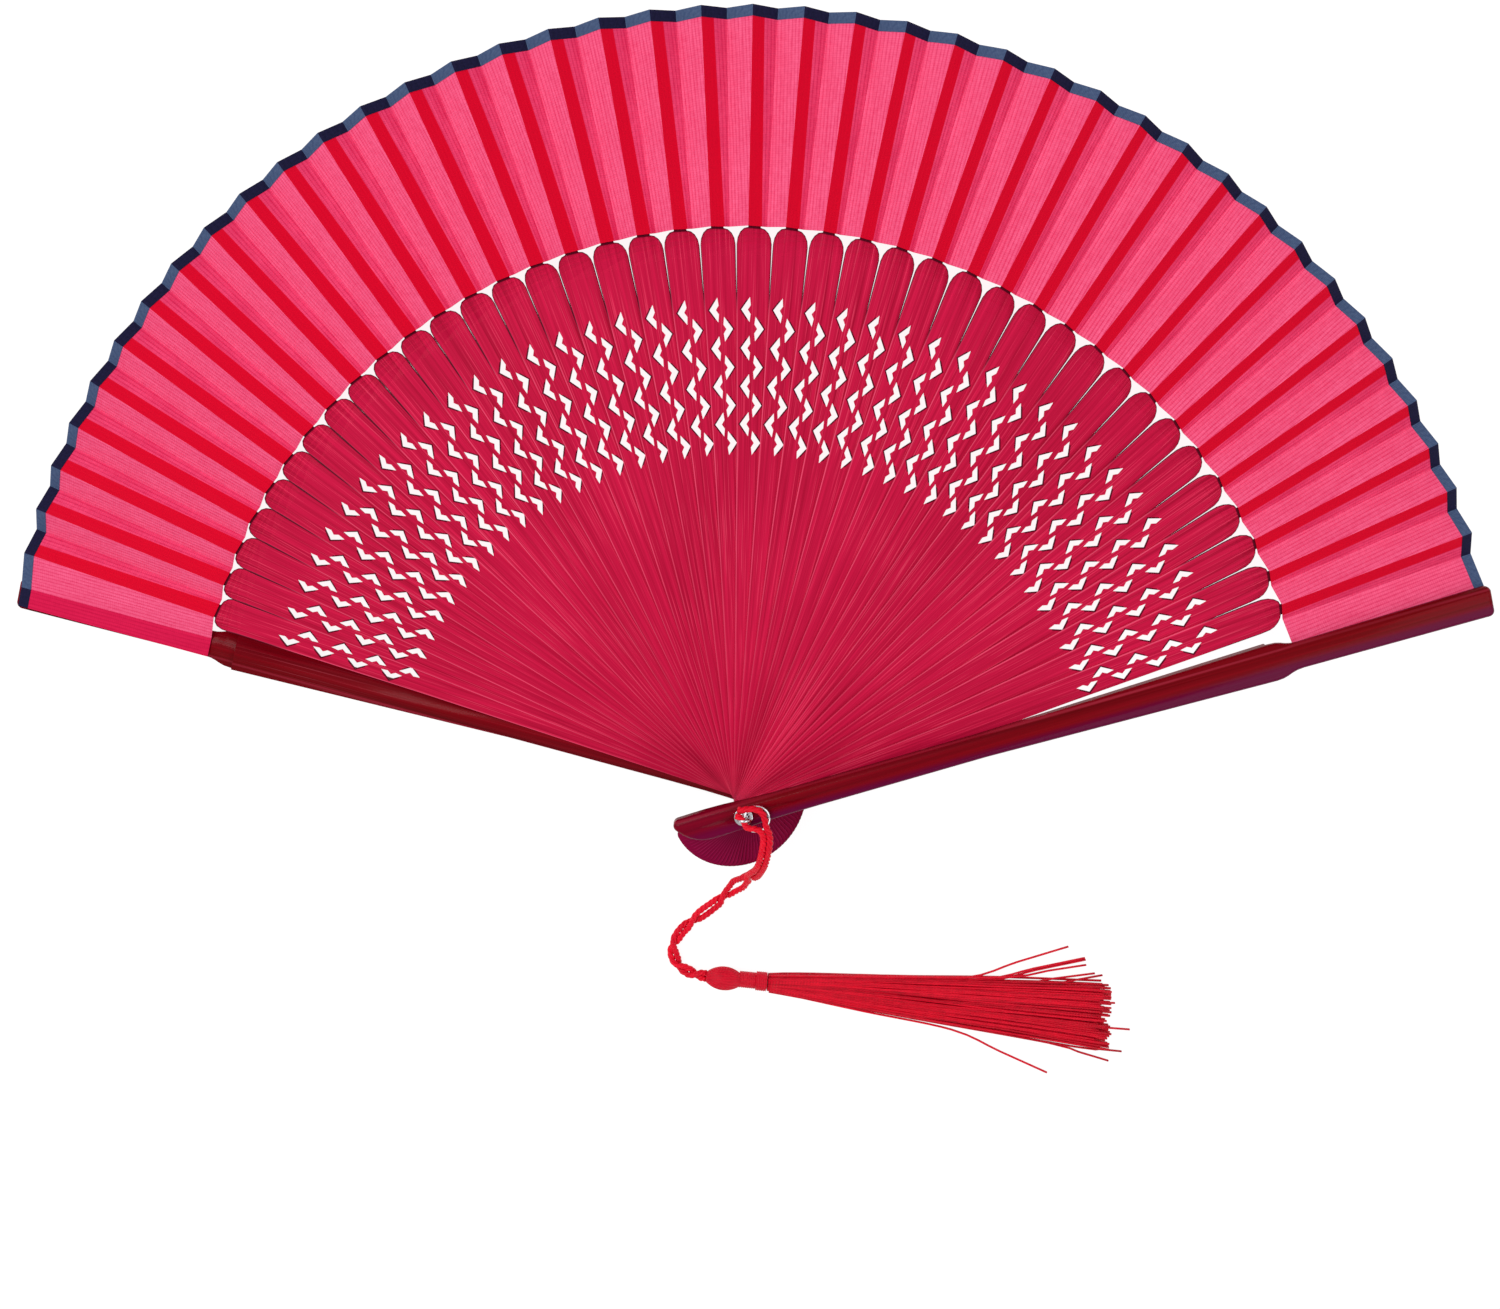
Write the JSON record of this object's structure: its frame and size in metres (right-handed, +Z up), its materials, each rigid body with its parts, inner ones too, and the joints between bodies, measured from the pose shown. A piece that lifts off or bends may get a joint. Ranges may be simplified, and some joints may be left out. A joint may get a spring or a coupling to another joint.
{
  "type": "folding fan",
  "caption": "Folding hand fan lying open: a pleated cloth leaf with a bound edge on flat pierced ribs between two guards, all on one pin, with a tassel on a cord and a ring.",
  "frame": {"origin": "on the pin's axis, in the plane of the pin head's flat face and the rear guard's outer face", "axes": "+Z up through the stack along the pin, from the rear guard to the front guard; +Y along the middle of the forty ribs, from the pin to the leaf; +X towards the front guard"},
  "size_m": [0.3673, 0.2679, 0.03],
  "materials": {
    "rib": "dyed, satin",
    "guard": "gloss lacquer",
    "leaf": "plain silk, matte",
    "binding": "matte",
    "metal": "polished",
    "cord": "silky"
  },
  "bodies": {
    "rear_guard": {"rear_guard": "guard", "leaf": "leaf", "edge_binding": "binding"},
    "rib_01": {"rib_01": "rib"},
    "rib_02": {"rib_02": "rib"},
    "rib_03": {"rib_03": "rib"},
    "rib_04": {"rib_04": "rib"},
    "rib_05": {"rib_05": "rib"},
    "rib_06": {"rib_06": "rib"},
    "rib_07": {"rib_07": "rib"},
    "rib_08": {"rib_08": "rib"},
    "rib_09": {"rib_09": "rib"},
    "rib_10": {"rib_10": "rib"},
    "rib_11": {"rib_11": "rib"},
    "rib_12": {"rib_12": "rib"},
    "rib_13": {"rib_13": "rib"},
    "rib_14": {"rib_14": "rib"},
    "rib_15": {"rib_15": "rib"},
    "rib_16": {"rib_16": "rib"},
    "rib_17": {"rib_17": "rib"},
    "rib_18": {"rib_18": "rib"},
    "rib_19": {"rib_19": "rib"},
    "rib_20": {"rib_20": "rib"},
    "rib_21": {"rib_21": "rib"},
    "rib_22": {"rib_22": "rib"},
    "rib_23": {"rib_23": "rib"},
    "rib_24": {"rib_24": "rib"},
    "rib_25": {"rib_25": "rib"},
    "rib_26": {"rib_26": "rib"},
    "rib_27": {"rib_27": "rib"},
    "rib_28": {"rib_28": "rib"},
    "rib_29": {"rib_29": "rib"},
    "rib_30": {"rib_30": "rib"},
    "rib_31": {"rib_31": "rib"},
    "rib_32": {"rib_32": "rib"},
    "rib_33": {"rib_33": "rib"},
    "rib_34": {"rib_34": "rib"},
    "rib_35": {"rib_35": "rib"},
    "rib_36": {"rib_36": "rib"},
    "rib_37": {"rib_37": "rib"},
    "rib_38": {"rib_38": "rib"},
    "rib_39": {"rib_39": "rib"},
    "rib_40": {"rib_40": "rib"},
    "front_guard": {"front_guard": "guard", "pin_washer": "metal"},
    "tassel": {"pivot_pin": "metal", "tassel_ring": "metal", "tassel_cord": "cord", "tassel_head": "cord", "tassel_wrap": "cord", "tassel_skirt": "cord"}
  },
  "joints": [
    {"name": "fold_01", "type": "hinge", "parent": "rear_guard", "child": "rib_01", "pos_m": [0, 0, 0], "axis": [0, 0, 1], "range_deg": [0, 3.81], "deforming": ["leaf", "edge_binding"]},
    {"name": "fold_02", "type": "hinge", "parent": "rib_01", "child": "rib_02", "pos_m": [0, 0, 0], "axis": [0, 0, 1], "range_deg": [0, 3.56]},
    {"name": "fold_03", "type": "hinge", "parent": "rib_02", "child": "rib_03", "pos_m": [0, 0, 0], "axis": [0, 0, 1], "range_deg": [0, 3.56]},
    {"name": "fold_04", "type": "hinge", "parent": "rib_03", "child": "rib_04", "pos_m": [0, 0, 0], "axis": [0, 0, 1], "range_deg": [0, 3.56]},
    {"name": "fold_05", "type": "hinge", "parent": "rib_04", "child": "rib_05", "pos_m": [0, 0, 0], "axis": [0, 0, 1], "range_deg": [0, 3.56]},
    {"name": "fold_06", "type": "hinge", "parent": "rib_05", "child": "rib_06", "pos_m": [0, 0, 0], "axis": [0, 0, 1], "range_deg": [0, 3.56]},
    {"name": "fold_07", "type": "hinge", "parent": "rib_06", "child": "rib_07", "pos_m": [0, 0, 0], "axis": [0, 0, 1], "range_deg": [0, 3.56]},
    {"name": "fold_08", "type": "hinge", "parent": "rib_07", "child": "rib_08", "pos_m": [0, 0, 0], "axis": [0, 0, 1], "range_deg": [0, 3.56]},
    {"name": "fold_09", "type": "hinge", "parent": "rib_08", "child": "rib_09", "pos_m": [0, 0, 0], "axis": [0, 0, 1], "range_deg": [0, 3.56]},
    {"name": "fold_10", "type": "hinge", "parent": "rib_09", "child": "rib_10", "pos_m": [0, 0, 0], "axis": [0, 0, 1], "range_deg": [0, 3.56]},
    {"name": "fold_11", "type": "hinge", "parent": "rib_10", "child": "rib_11", "pos_m": [0, 0, 0], "axis": [0, 0, 1], "range_deg": [0, 3.56]},
    {"name": "fold_12", "type": "hinge", "parent": "rib_11", "child": "rib_12", "pos_m": [0, 0, 0], "axis": [0, 0, 1], "range_deg": [0, 3.56]},
    {"name": "fold_13", "type": "hinge", "parent": "rib_12", "child": "rib_13", "pos_m": [0, 0, 0], "axis": [0, 0, 1], "range_deg": [0, 3.56]},
    {"name": "fold_14", "type": "hinge", "parent": "rib_13", "child": "rib_14", "pos_m": [0, 0, 0], "axis": [0, 0, 1], "range_deg": [0, 3.56]},
    {"name": "fold_15", "type": "hinge", "parent": "rib_14", "child": "rib_15", "pos_m": [0, 0, 0], "axis": [0, 0, 1], "range_deg": [0, 3.56]},
    {"name": "fold_16", "type": "hinge", "parent": "rib_15", "child": "rib_16", "pos_m": [0, 0, 0], "axis": [0, 0, 1], "range_deg": [0, 3.56]},
    {"name": "fold_17", "type": "hinge", "parent": "rib_16", "child": "rib_17", "pos_m": [0, 0, 0], "axis": [0, 0, 1], "range_deg": [0, 3.56]},
    {"name": "fold_18", "type": "hinge", "parent": "rib_17", "child": "rib_18", "pos_m": [0, 0, 0], "axis": [0, 0, 1], "range_deg": [0, 3.56]},
    {"name": "fold_19", "type": "hinge", "parent": "rib_18", "child": "rib_19", "pos_m": [0, 0, 0], "axis": [0, 0, 1], "range_deg": [0, 3.56]},
    {"name": "fold_20", "type": "hinge", "parent": "rib_19", "child": "rib_20", "pos_m": [0, 0, 0], "axis": [0, 0, 1], "range_deg": [0, 3.56]},
    {"name": "fold_21", "type": "hinge", "parent": "rib_20", "child": "rib_21", "pos_m": [0, 0, 0], "axis": [0, 0, 1], "range_deg": [0, 3.56]},
    {"name": "fold_22", "type": "hinge", "parent": "rib_21", "child": "rib_22", "pos_m": [0, 0, 0], "axis": [0, 0, 1], "range_deg": [0, 3.56]},
    {"name": "fold_23", "type": "hinge", "parent": "rib_22", "child": "rib_23", "pos_m": [0, 0, 0], "axis": [0, 0, 1], "range_deg": [0, 3.56]},
    {"name": "fold_24", "type": "hinge", "parent": "rib_23", "child": "rib_24", "pos_m": [0, 0, 0], "axis": [0, 0, 1], "range_deg": [0, 3.56]},
    {"name": "fold_25", "type": "hinge", "parent": "rib_24", "child": "rib_25", "pos_m": [0, 0, 0], "axis": [0, 0, 1], "range_deg": [0, 3.56]},
    {"name": "fold_26", "type": "hinge", "parent": "rib_25", "child": "rib_26", "pos_m": [0, 0, 0], "axis": [0, 0, 1], "range_deg": [0, 3.56]},
    {"name": "fold_27", "type": "hinge", "parent": "rib_26", "child": "rib_27", "pos_m": [0, 0, 0], "axis": [0, 0, 1], "range_deg": [0, 3.56]},
    {"name": "fold_28", "type": "hinge", "parent": "rib_27", "child": "rib_28", "pos_m": [0, 0, 0], "axis": [0, 0, 1], "range_deg": [0, 3.56]},
    {"name": "fold_29", "type": "hinge", "parent": "rib_28", "child": "rib_29", "pos_m": [0, 0, 0], "axis": [0, 0, 1], "range_deg": [0, 3.56]},
    {"name": "fold_30", "type": "hinge", "parent": "rib_29", "child": "rib_30", "pos_m": [0, 0, 0], "axis": [0, 0, 1], "range_deg": [0, 3.56]},
    {"name": "fold_31", "type": "hinge", "parent": "rib_30", "child": "rib_31", "pos_m": [0, 0, 0], "axis": [0, 0, 1], "range_deg": [0, 3.56]},
    {"name": "fold_32", "type": "hinge", "parent": "rib_31", "child": "rib_32", "pos_m": [0, 0, 0], "axis": [0, 0, 1], "range_deg": [0, 3.56]},
    {"name": "fold_33", "type": "hinge", "parent": "rib_32", "child": "rib_33", "pos_m": [0, 0, 0], "axis": [0, 0, 1], "range_deg": [0, 3.56]},
    {"name": "fold_34", "type": "hinge", "parent": "rib_33", "child": "rib_34", "pos_m": [0, 0, 0], "axis": [0, 0, 1], "range_deg": [0, 3.56]},
    {"name": "fold_35", "type": "hinge", "parent": "rib_34", "child": "rib_35", "pos_m": [0, 0, 0], "axis": [0, 0, 1], "range_deg": [0, 3.56]},
    {"name": "fold_36", "type": "hinge", "parent": "rib_35", "child": "rib_36", "pos_m": [0, 0, 0], "axis": [0, 0, 1], "range_deg": [0, 3.56]},
    {"name": "fold_37", "type": "hinge", "parent": "rib_36", "child": "rib_37", "pos_m": [0, 0, 0], "axis": [0, 0, 1], "range_deg": [0, 3.56]},
    {"name": "fold_38", "type": "hinge", "parent": "rib_37", "child": "rib_38", "pos_m": [0, 0, 0], "axis": [0, 0, 1], "range_deg": [0, 3.56]},
    {"name": "fold_39", "type": "hinge", "parent": "rib_38", "child": "rib_39", "pos_m": [0, 0, 0], "axis": [0, 0, 1], "range_deg": [0, 3.56]},
    {"name": "fold_40", "type": "hinge", "parent": "rib_39", "child": "rib_40", "pos_m": [0, 0, 0], "axis": [0, 0, 1], "range_deg": [0, 3.56]},
    {"name": "fold_41", "type": "hinge", "parent": "rib_40", "child": "front_guard", "pos_m": [0, 0, 0], "axis": [0, 0, 1], "range_deg": [0, 4.81]},
    {"name": "tassel_swing", "type": "hinge", "parent": "front_guard", "child": "tassel", "pos_m": [0, 0, 0], "axis": [0, 0, 1], "range_deg": [-15, 30]}
  ],
  "couplings": [
    {"joint": "fold_02", "follows": "fold_01", "ratio": 0.9344},
    {"joint": "fold_03", "follows": "fold_01", "ratio": 0.9344},
    {"joint": "fold_04", "follows": "fold_01", "ratio": 0.9344},
    {"joint": "fold_05", "follows": "fold_01", "ratio": 0.9344},
    {"joint": "fold_06", "follows": "fold_01", "ratio": 0.9344},
    {"joint": "fold_07", "follows": "fold_01", "ratio": 0.9344},
    {"joint": "fold_08", "follows": "fold_01", "ratio": 0.9344},
    {"joint": "fold_09", "follows": "fold_01", "ratio": 0.9344},
    {"joint": "fold_10", "follows": "fold_01", "ratio": 0.9344},
    {"joint": "fold_11", "follows": "fold_01", "ratio": 0.9344},
    {"joint": "fold_12", "follows": "fold_01", "ratio": 0.9344},
    {"joint": "fold_13", "follows": "fold_01", "ratio": 0.9344},
    {"joint": "fold_14", "follows": "fold_01", "ratio": 0.9344},
    {"joint": "fold_15", "follows": "fold_01", "ratio": 0.9344},
    {"joint": "fold_16", "follows": "fold_01", "ratio": 0.9344},
    {"joint": "fold_17", "follows": "fold_01", "ratio": 0.9344},
    {"joint": "fold_18", "follows": "fold_01", "ratio": 0.9344},
    {"joint": "fold_19", "follows": "fold_01", "ratio": 0.9344},
    {"joint": "fold_20", "follows": "fold_01", "ratio": 0.9344},
    {"joint": "fold_21", "follows": "fold_01", "ratio": 0.9344},
    {"joint": "fold_22", "follows": "fold_01", "ratio": 0.9344},
    {"joint": "fold_23", "follows": "fold_01", "ratio": 0.9344},
    {"joint": "fold_24", "follows": "fold_01", "ratio": 0.9344},
    {"joint": "fold_25", "follows": "fold_01", "ratio": 0.9344},
    {"joint": "fold_26", "follows": "fold_01", "ratio": 0.9344},
    {"joint": "fold_27", "follows": "fold_01", "ratio": 0.9344},
    {"joint": "fold_28", "follows": "fold_01", "ratio": 0.9344},
    {"joint": "fold_29", "follows": "fold_01", "ratio": 0.9344},
    {"joint": "fold_30", "follows": "fold_01", "ratio": 0.9344},
    {"joint": "fold_31", "follows": "fold_01", "ratio": 0.9344},
    {"joint": "fold_32", "follows": "fold_01", "ratio": 0.9344},
    {"joint": "fold_33", "follows": "fold_01", "ratio": 0.9344},
    {"joint": "fold_34", "follows": "fold_01", "ratio": 0.9344},
    {"joint": "fold_35", "follows": "fold_01", "ratio": 0.9344},
    {"joint": "fold_36", "follows": "fold_01", "ratio": 0.9344},
    {"joint": "fold_37", "follows": "fold_01", "ratio": 0.9344},
    {"joint": "fold_38", "follows": "fold_01", "ratio": 0.9344},
    {"joint": "fold_39", "follows": "fold_01", "ratio": 0.9344},
    {"joint": "fold_40", "follows": "fold_01", "ratio": 0.9344},
    {"joint": "fold_41", "follows": "fold_01", "ratio": 1.2624}
  ]
}
